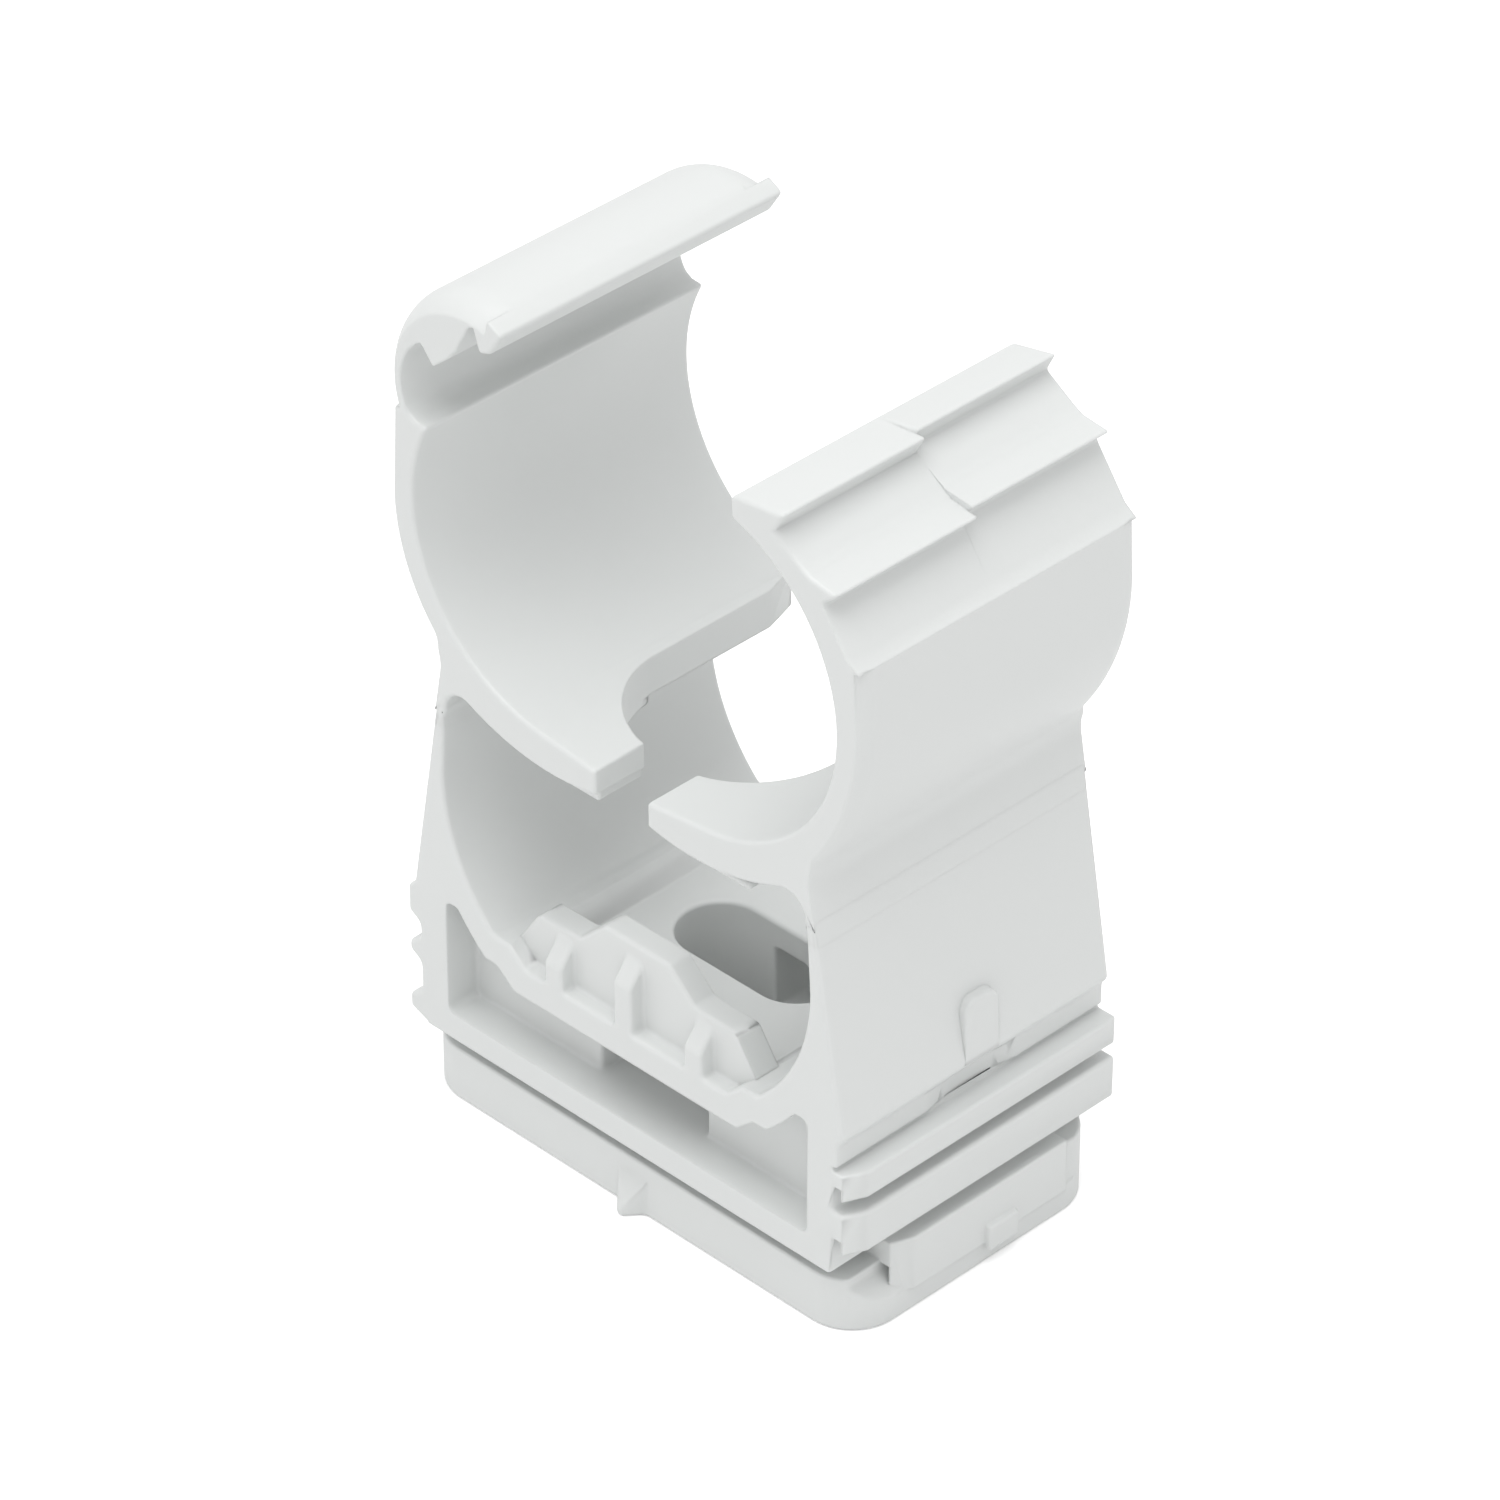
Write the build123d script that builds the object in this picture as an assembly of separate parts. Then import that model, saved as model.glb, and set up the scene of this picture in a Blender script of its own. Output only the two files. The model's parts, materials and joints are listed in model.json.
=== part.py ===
from build123d import *
import os
from math import acos, asin, atan2, cos, degrees, radians, sin, sqrt, tan

# A pipe clip of one moulding: a screw-down base with two thin legs, and on each leg a jaw that swings
# on the film of plastic at the leg's top. A pipe pushed onto the tongues turns both jaws inwards until
# the hook of the left jaw latches over the teeth of the right one.
# Millimetres. X runs across the jaws, Y along the pipe, Z up from the foot's bottom.

# Pipe and clip
PIPE_RADIUS = 10.0
BORE_PLAY = 0.1
BORE_RADIUS = PIPE_RADIUS + BORE_PLAY
DEPTH = 20.0
FRONT = -DEPTH / 2
BACK = DEPTH / 2

# Foot, heights of the base block and legs
FOOT_HEIGHT = 3.4
FOOT_GAP = 1.0                   # between the foot and the block over it
BLOCK_HEIGHT = 7.6
STEP_RISE = 1.05
SHOULDER_RISE = 1.45
SHOULDER_SLOPE = 0.55            # height of the slope under the shoulder
RECESS_HEIGHT = 1.4
SIDE_SLOPE = 0.7                 # and of the left wall's slope at the bottom
BODY_BOTTOM = FOOT_HEIGHT + FOOT_GAP
FLOOR_HEIGHT = BODY_BOTTOM + BLOCK_HEIGHT
STEP_HEIGHT = FLOOR_HEIGHT + STEP_RISE
SHOULDER_HEIGHT = FLOOR_HEIGHT + SHOULDER_RISE
RECESS_TOP = SHOULDER_HEIGHT - SHOULDER_SLOPE
RECESS_BOTTOM = RECESS_TOP - RECESS_HEIGHT
SIDE_BOTTOM = BODY_BOTTOM + SIDE_SLOPE

# Widths: how far the legs' outer wall at the shoulder stands over the bore, and the others from there
LEG_SPREAD = 5.9
WALL_DEPTH = 0.74
RECESS_DEPTH = 0.45
SIDE_STAND = 0.5
STRIP_STAND = 0.6
FOOT_STAND = 0.4
FOOT_TOP_DEPTH = 0.7
LEG_OUT = BORE_RADIUS + LEG_SPREAD
WALL_OUT = LEG_OUT - WALL_DEPTH          # side walls between the coupling strips
RECESS_OUT = LEG_OUT - RECESS_DEPTH      # side wall under the shoulder
SIDE_OUT = LEG_OUT + SIDE_STAND          # left side, over its grooves
STRIP_OUT = LEG_OUT + STRIP_STAND        # right side, over the coupling strips
FOOT_OUT = LEG_OUT + FOOT_STAND
FOOT_TOP_OUT = LEG_OUT - FOOT_TOP_DEPTH

# Legs and film hinges
LEG_LEAN = 9.7
LEG_WALL = 1.1                   # of a leg where its inner wall is upright
LEG_CURVE = 11.6                 # radius of the inner wall's lower curve
LEG_CURVE_RISE = 8.5             # of its centre over the step
LEG_CURVE_HEIGHT = STEP_HEIGHT + LEG_CURVE_RISE
FILM = 0.62
HINGE_HEIGHT = 25.4
HINGE_PLAY = 0.03                # between the film's round end and its seat in the jaw
CLOSING_ANGLE = 34.5             # what each jaw swings to latch
SPREAD_ANGLE = 6.0               # what each jaw gives outwards while the pipe goes in
SWING_SPARE = 2.5                # how far the jaw's end stays clear of its leg past both angles

# Base block
SKIN = 1.77                      # thickness of the crossbar, the bottom wall and the side walls
STEP_WIDTH = 1.11                # level stretch between a leg's curve and the floor
STEP_RUN = 1.25                  # and the slope from there down to the floor
BODY_CHAMFER = 0.25
WINDOW_DEPTH = 2.2
WINDOW_TOP_IN = 0.9              # the recess is this much narrower at its top
WINDOW_ROUND = 0.45
CHANNEL_WIDTH = 7.9
REAR_CHANNEL_WIDTH = 2.5

# Web across the front of the floor: how far in from the step's edge, and how high over the floor
WEB_STEPS = ((-0.1, 1.1), (1.2, 3.0), (1.6, 3.3), (4.4, 3.3), (6.3, 5.1))
WEB_SETBACK = 1.0
WEB_THICK = 1.65
RIB_WIDTH = 1.3
RIB_PITCH = 5.2
RIB_SHIFT = -0.12
RIB_RISES = (1.5, 2.95, 1.5)     # front faces of the ribs over the floor
RIB_SLANT = 1.3

# Screw slot and foot
SLOT_WIDTH = 5.0
SLOT_LENGTH = 10.6
FOOT_LEDGE = 1.7
FOOT_SWEEP = 2.8
FOOT_SETBACK = 0.5
FOOT_CORNER = 3.0
NECK_IN = 3.0                    # how far the neck under the block stands in from the block's faces
HEEL_IN = 0.15                   # heel behind the lowest strip, from the foot's side
MARK_HALF = 2.0
MARK_HEIGHT = 2.1
MARK_OUT = 1.2
FOOT_BACK = BACK - FOOT_SETBACK

# Coupling strips of the right side, over the block's bottom: neck bottom, neck top, lip bottom, and
# how far their ends stand in from the front and the back
STRIPS = (
    (5.95, 6.8, 5.2, 0.0),
    (2.55, 4.2, 1.7, 0.0),
    (-1.1, 0.5, -2.9, 3.6),
)
STRIP_LIP = 0.65
STRIP_PLAY = 0.2
LEAD_IN = 1.3
LEAD_IN_DEPTH = 0.6
CLIP_PITCH = 2 * FOOT_OUT        # coupled clips stand foot to foot
GROOVE_DEPTH = 0.85
GROOVE_SLANT = 0.5               # the grooves narrow by this much at the top and the bottom
TAB_FRONT = 0.25
TAB_LENGTH = 2.25
TAB_HEIGHT = 1.65
TAB_DROP = 0.5                   # how far the snap tab hangs under its strip
TAB_OUT = 0.3

# Marks on the right leg
PAD_FRONT = -0.9
PAD_WIDTH = 2.5
PAD_RISE = 3.95                  # top of the raised pad over the shoulder
PAD_CORNER = 0.9
SCOOP_HALF = 3.3
SCOOP_DEPTH = 0.4

# Jaws, open: the bore's centre from the middle, and the tongue under it
BORE_OUT = 5.13
TONGUE_TIP = 1.9                 # tip of each tongue from the middle
TONGUE_THICK = 2.27
TONGUE_RISE = 0.38               # lowest point of a tongue over its hinge
TONGUE_TAPER = 4.7               # what its underside's radius has over the bore's
TONGUE_UNDER_RADIUS = BORE_RADIUS + TONGUE_TAPER
TONGUE_SLOPE = 6.0               # the tongue's top leaves the bore at this slope
TONGUE_BOTTOM = HINGE_HEIGHT + TONGUE_RISE
BORE_HEIGHT = TONGUE_BOTTOM + TONGUE_THICK + BORE_RADIUS
ARCH_RADIUS = 1.26               # round arch between the tongue's underside and the film
ARCH_IN = 1.74                   # its centre from the hinge
NECK_ROUND = 2.5                 # where the leg's line runs into the jaw
CUTBACK_OUT = 6.72               # the tongue's edge behind its finger, from the middle
CUTBACK_RADIUS = 5.5
CUTBACK_CENTRE = -1.0            # where that edge starts to curve in, along the pipe
CUTBACK_FLARE = 0.68             # it flares out again towards the back
CUTBACK_FLARE_LENGTH = 2.4
STOP_WIDTH = 4.6                 # stop pad under each finger
STOP_DROP = 0.38                 # how far it stands below the tongue
STOP_HEIGHT = 0.7
STOP_SETBACK = 0.5
HOOK_STOP_IN = 2.1
TOOTHED_STOP_IN = 4.3

# Outside of the jaws: walls over the bore's radius, and places from the bore's centre
HOOK_WALL = 1.5
HOOK_SHIFT = (0.18, -0.11)       # centre of the outer circle
TOOTHED_WALL = 4.95
TOOTHED_SHIFT = (-3.17, 0.73)
HOOK_SHELL = (*HOOK_SHIFT, BORE_RADIUS + HOOK_WALL)
TOOTHED_SHELL = (*TOOTHED_SHIFT, BORE_RADIUS + TOOTHED_WALL)
CAP_RADIUS = 6.4
CAP_IN = 0.99                    # of the cap's centre from the bore's wall
CAP_CENTRE = (BORE_RADIUS - CAP_IN, 51.8)     # as radius and angle
CAP_START = -5.0
CAP_END = 104.0
CAP_FOOT_IN = 0.28
CAP_FOOT_RISE = 5.4
CAP_FOOT = (HOOK_SHIFT[0] + HOOK_SHELL[2] - CAP_FOOT_IN, CAP_FOOT_RISE)
SHOULDER_IN = 0.18
SHOULDER_UP = 4.5
TOOTHED_SHOULDER = (TOOTHED_SHIFT[0] + TOOTHED_SHELL[2] - SHOULDER_IN, SHOULDER_UP)
NOTCH_WALL = 0.78
NOTCH_UP = 5.07
TOOTHED_NOTCH = (BORE_RADIUS + NOTCH_WALL, NOTCH_UP)
EDGE_ROUND = 2.0                 # the outer walls curve in at the front and the back
EDGE_DROP = 0.35
CAP_ROUND = 2.5
CAP_DROP = 0.9
CAP_SOFT_START = -20.0

# Latch: walls over the bore's radius, and angles about its centre from outwards to upwards
LATCH_PITCH = 20.7
LATCH_WALL = 1.76                # under the teeth
TOOTH_HEIGHT = 1.34
TOOTH_ANGLE = 60.3               # outer side of the right jaw's first tooth
TOOTH_STAGGER = 2.4              # the rear half of the teeth stands this much further in
TOOTH_RISE = 0.14                # of the ground between the teeth
TOOTH_ROOT = BORE_RADIUS + LATCH_WALL
TOOTH_TIP = TOOTH_ROOT + TOOTH_HEIGHT
TOOTH_RAMP = TOOTH_ROOT + TOOTH_RISE
END_DROPS = (0.3, 0.65)          # the jaw's end falls off in two steps
END_ANGLES = (74.0, 75.5)
TEETH_END = [(TOOTH_ROOT - drop, angle) for drop, angle in zip(END_DROPS, END_ANGLES)]
TEETH_BORE_END = 73.5
HOOK_ANGLE = 46.6                # catching side of the hook's inner tooth
HOOK_TIP_PLAY = 0.26             # between the hook's tips and the ground of the teeth
HOOK_ROOT_PLAY = 0.35            # and between the teeth's tips and the hook's ground
HOOK_TIP = TOOTH_ROOT + HOOK_TIP_PLAY
HOOK_ROOT = TOOTH_TIP + HOOK_ROOT_PLAY
HOOK_UNDERCUT_ANGLE = 0.4
HOOK_TOOTH_ANGLE = 6.8           # width of the inner tooth's tip
HOOK_BACK_RISE = 0.25            # its back starts this much higher
HOOK_BACK_ANGLE = 4.7            # and further on
HOOK_GAP_ANGLE = 1.5             # room behind the outer tooth's catching side
HOOK_OUTER_ANGLE = 3.6
LIP_ANGLE = 76.5
POCKET_WALLS = (2.85, 1.5, 0.8)  # the hook's pocket narrows to the lip at its lower end
POCKET_ANGLES = (34.0, 27.0, 26.7)
POCKET_START_ANGLE = 42.6
POCKET_BORE_END = 28.5

SMALL = 1e-6


def polar(radius, angle):
    """Point at an angle about a jaw's bore centre, measured from outwards to upwards."""
    return (BORE_OUT + radius * cos(radians(angle)), BORE_HEIGHT + radius * sin(radians(angle)))


def from_bore(out, up):
    """Point given from a jaw's bore centre."""
    return (BORE_OUT + out, BORE_HEIGHT + up)


def arc(centre, radius, start, end):
    """Arc about a centre from one angle to another."""
    points = [(centre[0] + radius * cos(radians(a)), centre[1] + radius * sin(radians(a)))
              for a in (start, (start + end) / 2, end)]
    return ThreePointArc(*points)


def profile(*items):
    """Closed face along points and arcs in their order, with straight lines between them."""
    edges, first, last = [], None, None
    for item in items:
        curved = isinstance(item, Edge)
        start = item @ 0 if curved else Vector(*item)
        if last is None:
            first = start
        elif (start - last).length > SMALL:
            edges.append(Line(last, start))
        edges += [item] if curved else []
        last = item @ 1 if curved else start
    if (first - last).length > SMALL:
        edges.append(Line(last, first))
    return make_face(edges)


def slab(face, front=FRONT, back=BACK):
    """A section in X and Z, run along the pipe from one place to another."""
    return Pos(0, (front + back) / 2, 0) * extrude(Plane.XZ * face, amount=(back - front) / 2, both=True)


def both_sides(face):
    """A half section and its mirror image."""
    return face + mirror(face, Plane.YZ)


def block(x, y, z):
    """Box given by its ends along each axis."""
    size = [end - start for start, end in (x, y, z)]
    middle = [(start + end) / 2 for start, end in (x, y, z)]
    return Pos(*middle) * Box(*size)


def leg_out(height):
    """Outer wall of a leg from the middle, at a height."""
    return LEG_OUT - (height - SHOULDER_HEIGHT) * tan(radians(LEG_LEAN))


def hinge():
    """Axis of the right film hinge, in X and Z."""
    return (leg_out(HINGE_HEIGHT) - FILM / 2 / cos(radians(LEG_LEAN)), HINGE_HEIGHT)


def curve_centre():
    """Centre of the lower curve of a leg's inner wall."""
    return (leg_out(LEG_CURVE_HEIGHT) - LEG_WALL - LEG_CURVE, LEG_CURVE_HEIGHT)


def curve_angle(height, offset=0.0):
    """Angle about that centre at which the curve, or a line beside it, passes a height."""
    return degrees(asin((height - LEG_CURVE_HEIGHT) / (LEG_CURVE + offset)))


def step_out():
    """Edge of the level step beside the floor, from the middle."""
    return curve_centre()[0] + LEG_CURVE * cos(radians(curve_angle(STEP_HEIGHT))) - STEP_WIDTH


def body_half():
    """Right half of the base's section, from the bottom wall to the round end of the leg's film."""
    return profile(
        (0, BODY_BOTTOM), (WALL_OUT - BODY_CHAMFER, BODY_BOTTOM), (WALL_OUT, BODY_BOTTOM + BODY_CHAMFER),
        (WALL_OUT, RECESS_BOTTOM), (RECESS_OUT, RECESS_BOTTOM), (RECESS_OUT, RECESS_TOP),
        (LEG_OUT, SHOULDER_HEIGHT),
        arc(hinge(), FILM / 2, LEG_LEAN, 180),
        arc(curve_centre(), LEG_CURVE, 0, curve_angle(STEP_HEIGHT)),
        (step_out(), STEP_HEIGHT), (step_out() - STEP_RUN, FLOOR_HEIGHT), (0, FLOOR_HEIGHT))


def window():
    """Section of the recess in the base's front and back."""
    centre = curve_centre()
    side = WALL_OUT - SKIN
    top_start = -degrees(acos((side - WINDOW_TOP_IN - centre[0]) / (LEG_CURVE + SKIN)))
    under_step = STEP_HEIGHT - SKIN
    half = profile(
        (0, BODY_BOTTOM + SKIN), (side, BODY_BOTTOM + SKIN), (side, SHOULDER_HEIGHT),
        arc(centre, LEG_CURVE + SKIN, top_start, curve_angle(under_step, SKIN)),
        (step_out() + SKIN / 2, under_step), (step_out() - STEP_RUN + SKIN / 2, FLOOR_HEIGHT - SKIN),
        (0, FLOOR_HEIGHT - SKIN))
    return both_sides(fillet([v for v in half.vertices() if v.X > SMALL], WINDOW_ROUND))


def windows():
    """Recesses of both faces, with the channels that run on to the screw slot."""
    bottom, top = BODY_BOTTOM + SKIN, FLOOR_HEIGHT - SKIN
    front = block((-CHANNEL_WIDTH / 2, CHANNEL_WIDTH / 2), (FRONT, 0), (bottom, top))
    rear = block((-REAR_CHANNEL_WIDTH / 2, REAR_CHANNEL_WIDTH / 2), (0, BACK), (bottom, top))
    recesses = slab(window(), FRONT, FRONT + WINDOW_DEPTH) + slab(window(), BACK - WINDOW_DEPTH, BACK)
    return recesses + front + rear


def web():
    """Upright web across the front of the floor, with its three ribs."""
    below = FLOOR_HEIGHT - SKIN / 2
    steps = [(step_out() - inwards, FLOOR_HEIGHT + rise) for inwards, rise in WEB_STEPS]
    half = profile((0, below), (step_out(), below), *steps, (0, steps[-1][1]))
    face = FRONT + WEB_SETBACK
    result = slab(both_sides(half), face, face + WEB_THICK)
    for index, rise in enumerate(RIB_RISES):
        height = FLOOR_HEIGHT + rise
        side = profile((FRONT, below), (face, below), (face, height + RIB_SLANT), (FRONT, height))
        rib = extrude(Plane.YZ * side, amount=RIB_WIDTH / 2, both=True)
        result += Pos(RIB_SHIFT + (index - 1) * RIB_PITCH, 0, 0) * rib
    return result


def foot():
    """Flat foot with a ledge along its right side, and the neck that carries the block."""
    section = profile((-FOOT_OUT, 0), (FOOT_OUT, 0), (FOOT_OUT, FOOT_LEDGE), (FOOT_TOP_OUT, FOOT_SWEEP),
                      (FOOT_TOP_OUT, FOOT_HEIGHT), (-FOOT_OUT, FOOT_HEIGHT))
    strip_end = BACK - STRIPS[-1][3]
    heel = block((WALL_OUT - NECK_IN, FOOT_OUT - HEEL_IN), (strip_end, FOOT_BACK), (0, BODY_BOTTOM))
    plan = extrude(RectangleRounded(2 * FOOT_OUT, 2 * FOOT_BACK, FOOT_CORNER), amount=BODY_BOTTOM)
    neck = block((NECK_IN - WALL_OUT, WALL_OUT - NECK_IN), (FRONT + NECK_IN, BACK - NECK_IN),
                 (FOOT_HEIGHT / 2, BODY_BOTTOM + SKIN / 2))
    return ((slab(section) + heel) & plan) + neck


def centre_mark():
    """Pointed mark at the middle of the foot's front edge."""
    base = Plane.XY * profile((-MARK_HALF, SMALL - FOOT_BACK + MARK_OUT), (0, -FOOT_BACK - MARK_OUT),
                              (MARK_HALF, SMALL - FOOT_BACK + MARK_OUT))
    cutter = extrude(Plane.YZ * profile((-FOOT_BACK - 2 * MARK_OUT, 0), (-FOOT_BACK - MARK_OUT, 0),
                                        (-FOOT_BACK, MARK_HEIGHT), (-FOOT_BACK - 2 * MARK_OUT, MARK_HEIGHT)),
                     amount=MARK_HALF, both=True)
    return extrude(base, amount=MARK_HEIGHT) - cutter


def strip_heights(strip):
    """Neck bottom, neck top and lip bottom of a coupling strip, over the foot's bottom."""
    return [BODY_BOTTOM + height for height in strip[:3]]


def strip_section(strip, play=0.0):
    """Section of a coupling strip: a neck out of the wall and a lip that hangs from its end."""
    neck_bottom, neck_top, lip_bottom = strip_heights(strip)
    inner = WALL_OUT - WINDOW_DEPTH / 2 - play
    return profile((inner, neck_bottom - play), (STRIP_OUT - STRIP_LIP - play, neck_bottom - play),
                   (STRIP_OUT - STRIP_LIP - play, lip_bottom - play), (STRIP_OUT + play, lip_bottom - play),
                   (STRIP_OUT + play, neck_top + play), (inner, neck_top + play))


def strip_run(strip, play=0.0):
    """A coupling strip along the pipe."""
    inset = strip[3]
    reach = play if inset else 0
    return slab(strip_section(strip, play), FRONT + inset - reach, BACK - inset + reach)


def strips():
    """Coupling strips of the right side, with slanted front ends."""
    result = Part()
    for strip in STRIPS:
        front = FRONT + strip[3]
        slant = profile((STRIP_OUT, front + LEAD_IN), (STRIP_OUT - LEAD_IN_DEPTH, front),
                        (STRIP_OUT + LEAD_IN, front))
        result += strip_run(strip) - extrude(slant, amount=SHOULDER_HEIGHT)
    return result


def tab(play=0.0):
    """Snap tab on the lowest strip."""
    bottom = strip_heights(STRIPS[-1])[2] - TAB_DROP
    return block((STRIP_OUT - STRIP_LIP, STRIP_OUT + TAB_OUT + play),
                 (TAB_FRONT - play, TAB_FRONT + TAB_LENGTH + play),
                 (bottom - play, bottom + TAB_HEIGHT + play))


def left_side():
    """Thicker left wall, which holds the grooves."""
    wall = profile((SIDE_BOTTOM - BODY_BOTTOM - WALL_OUT, BODY_BOTTOM), (-SIDE_OUT, SIDE_BOTTOM),
                   (-SIDE_OUT, STEP_HEIGHT), (-LEG_OUT, SHOULDER_HEIGHT),
                   (SIDE_BOTTOM - BODY_BOTTOM - WALL_OUT, SHOULDER_HEIGHT))
    return slab(wall)


def grooves():
    """Grooves of the left side for the next clip's strips, and the pocket for its lowest one."""
    result = Part()
    for strip in STRIPS[:2]:
        top, bottom = strip_heights(strip)[1] + STRIP_PLAY, strip_heights(strip)[2] - STRIP_PLAY
        inner, outer = GROOVE_DEPTH - SIDE_OUT, -SIDE_OUT - STRIP_LIP
        result += slab(profile((-SIDE_OUT, bottom), (inner, bottom + GROOVE_SLANT), (inner, top - GROOVE_SLANT),
                               (-SIDE_OUT, top), (outer, top), (outer, bottom)))
    return result + Pos(-CLIP_PITCH, 0, 0) * (strip_run(STRIPS[-1], STRIP_PLAY) + tab(STRIP_PLAY))


def leg_pad():
    """Raised pad on the right leg, round at its top."""
    height = SHOULDER_HEIGHT + PAD_RISE - RECESS_TOP
    centre = (PAD_FRONT + PAD_WIDTH / 2, RECESS_TOP + height / 2)
    face = Pos(*centre) * Rectangle(PAD_WIDTH, height)
    face = fillet(face.vertices().group_by(Axis.Y)[-1], PAD_CORNER)
    return Pos(LEG_OUT, 0, 0) * extrude(Plane.YZ * face, amount=-LEG_WALL)


def scoop():
    """Shallow hollow in the side wall under the raised pad."""
    radius = (SCOOP_HALF ** 2 + SCOOP_DEPTH ** 2) / (2 * SCOOP_DEPTH)
    height = RECESS_TOP - RECESS_BOTTOM
    return Pos(RECESS_OUT - SCOOP_DEPTH + radius, 0, RECESS_BOTTOM + height / 2) * Cylinder(radius, height)


def make_base():
    """Base with legs: everything that stays still."""
    core = slab(both_sides(body_half())) + left_side() + foot() - windows() - grooves() - scoop()
    core = core + web() + strips() + tab() + centre_mark() + leg_pad()
    slot = extrude(SlotOverall(SLOT_LENGTH, SLOT_WIDTH), amount=BORE_HEIGHT)
    return core - slot


def circle_meets_leg(shell):
    """Where a jaw's outer circle meets the leg's outer line, as X and Z, on the lower side."""
    centre, radius = from_bore(*shell[:2]), shell[2]
    lean = radians(LEG_LEAN)
    along = (-sin(lean), cos(lean))
    to_line = (LEG_OUT - centre[0], SHOULDER_HEIGHT - centre[1])
    b = along[0] * to_line[0] + along[1] * to_line[1]
    c = to_line[0] ** 2 + to_line[1] ** 2 - radius ** 2
    t = -b - sqrt(b * b - c)
    return (LEG_OUT + t * along[0], SHOULDER_HEIGHT + t * along[1])


def shell_arc(shell, end):
    """A jaw's outer circle from the neck up to an angle."""
    centre = from_bore(*shell[:2])
    meet = circle_meets_leg(shell)
    start = degrees(atan2(meet[1] - centre[1], meet[0] - centre[0]))
    return arc(centre, shell[2], start, end)


def seat_end():
    """Angle at which the jaw's hollow ends outside: where it meets the leg's line, or clear of the swing."""
    meets = LEG_LEAN + degrees(acos(FILM / 2 / (FILM / 2 + HINGE_PLAY)))
    return max(meets, SPREAD_ANGLE + SWING_SPARE)


def seat():
    """Lower end of a jaw: a hollow that rides on the round end of the leg's film."""
    return arc(hinge(), FILM / 2 + HINGE_PLAY, 180 - CLOSING_ANGLE - SWING_SPARE, seat_end())


def neck_corner():
    """Where the jaw's outer line starts over the hinge."""
    angle = radians(seat_end())
    reach = FILM / 2 / cos(radians(LEG_LEAN) - angle)
    return (hinge()[0] + reach * cos(angle), hinge()[1] + reach * sin(angle))


def tongue_line():
    """Points and arcs from the bore's lower end round the tongue to the hinge's seat."""
    slope = radians(TONGUE_SLOPE)
    leave = (BORE_OUT + BORE_RADIUS * sin(slope), BORE_HEIGHT - BORE_RADIUS * cos(slope))
    top = (TONGUE_TIP, leave[1] - (leave[0] - TONGUE_TIP) * tan(slope))
    centre = (BORE_OUT, TONGUE_BOTTOM + TONGUE_UNDER_RADIUS)
    tip_angle = degrees(asin((TONGUE_TIP - centre[0]) / TONGUE_UNDER_RADIUS)) - 90
    arch_out = hinge()[0] - ARCH_IN
    drop = sqrt((TONGUE_UNDER_RADIUS + ARCH_RADIUS) ** 2 - (arch_out - centre[0]) ** 2)
    touch = -degrees(atan2(drop, arch_out - centre[0]))
    under = arc(centre, TONGUE_UNDER_RADIUS, tip_angle, touch)
    return top, under, arc((arch_out, centre[1] - drop), ARCH_RADIUS, touch + 180, 0)


def bore_arc(start):
    """Bore of a jaw from an angle down to where the tongue's top leaves it."""
    return arc((BORE_OUT, BORE_HEIGHT), BORE_RADIUS, start, TONGUE_SLOPE - 90)


def with_round_neck(face, shell):
    """Rounds the hollow where the leg's line runs into the jaw's outer circle."""
    corner = face.vertices().sort_by_distance(Vector(*circle_meets_leg(shell)))[0]
    return fillet(corner, NECK_ROUND)


def soft_edge(reach, radius, drop):
    """What is taken off an outer wall at the back, from the wall outwards and along the pipe."""
    along = sqrt(radius ** 2 - (radius - drop) ** 2)
    start = degrees(asin(along / radius))
    return profile((reach + radius, BACK + radius), (reach - drop, BACK + radius),
                   arc((reach - radius, BACK - along), radius, start, 0), (reach + radius, BACK - along))


def at_both_ends(cutter):
    """A cutter at the back and its mirror image at the front."""
    return cutter + mirror(cutter, Plane.XZ)


def soft_ring(centre, reach, start, end, radius=EDGE_ROUND, drop=EDGE_DROP):
    """Cutter that curves in a round wall between two angles."""
    turn = radians(start)
    plane = Plane((centre[0], 0, centre[1]), x_dir=(cos(turn), 0, sin(turn)),
                  z_dir=(-sin(turn), 0, cos(turn)))
    axis = Axis((centre[0], 0, centre[1]), (0, -1, 0))
    return at_both_ends(revolve(plane * soft_edge(reach, radius, drop), axis, end - start))


def soft_bar(low, high):
    """Cutter that curves in a straight wall between two points, the lower one first."""
    run = (high[0] - low[0], high[1] - low[1])
    length = sqrt(run[0] ** 2 + run[1] ** 2)
    up = (run[0] / length, run[1] / length)
    plane = Plane((low[0], 0, low[1]), x_dir=(up[1], 0, -up[0]), z_dir=(up[0], 0, up[1]))
    return at_both_ends(extrude(plane * soft_edge(0, EDGE_ROUND, EDGE_DROP), amount=length))


def soft_shell(shell, corner):
    """Cutter that curves in a jaw's outer wall from its neck up to a corner."""
    meet, centre = circle_meets_leg(shell), from_bore(*shell[:2])
    start = degrees(atan2(meet[1] - centre[1], meet[0] - centre[0]) + NECK_ROUND / shell[2] / 2)
    wall = soft_bar((centre[0] + shell[2], centre[1]), from_bore(*corner))
    return soft_ring(centre, shell[2], start, 0) + wall


def teeth(angle_in):
    """Top of the toothed jaw from its outer notch to its end, turned in by an angle."""
    first, second = TOOTH_ANGLE + angle_in, TOOTH_ANGLE - LATCH_PITCH + angle_in
    return (polar(TOOTH_ROOT, second), polar(TOOTH_TIP, second),
            polar(TOOTH_RAMP, second + LATCH_PITCH / 3), polar(TOOTH_ROOT, second + LATCH_PITCH / 2),
            polar(TOOTH_ROOT, first), polar(TOOTH_TIP, first))


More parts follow.
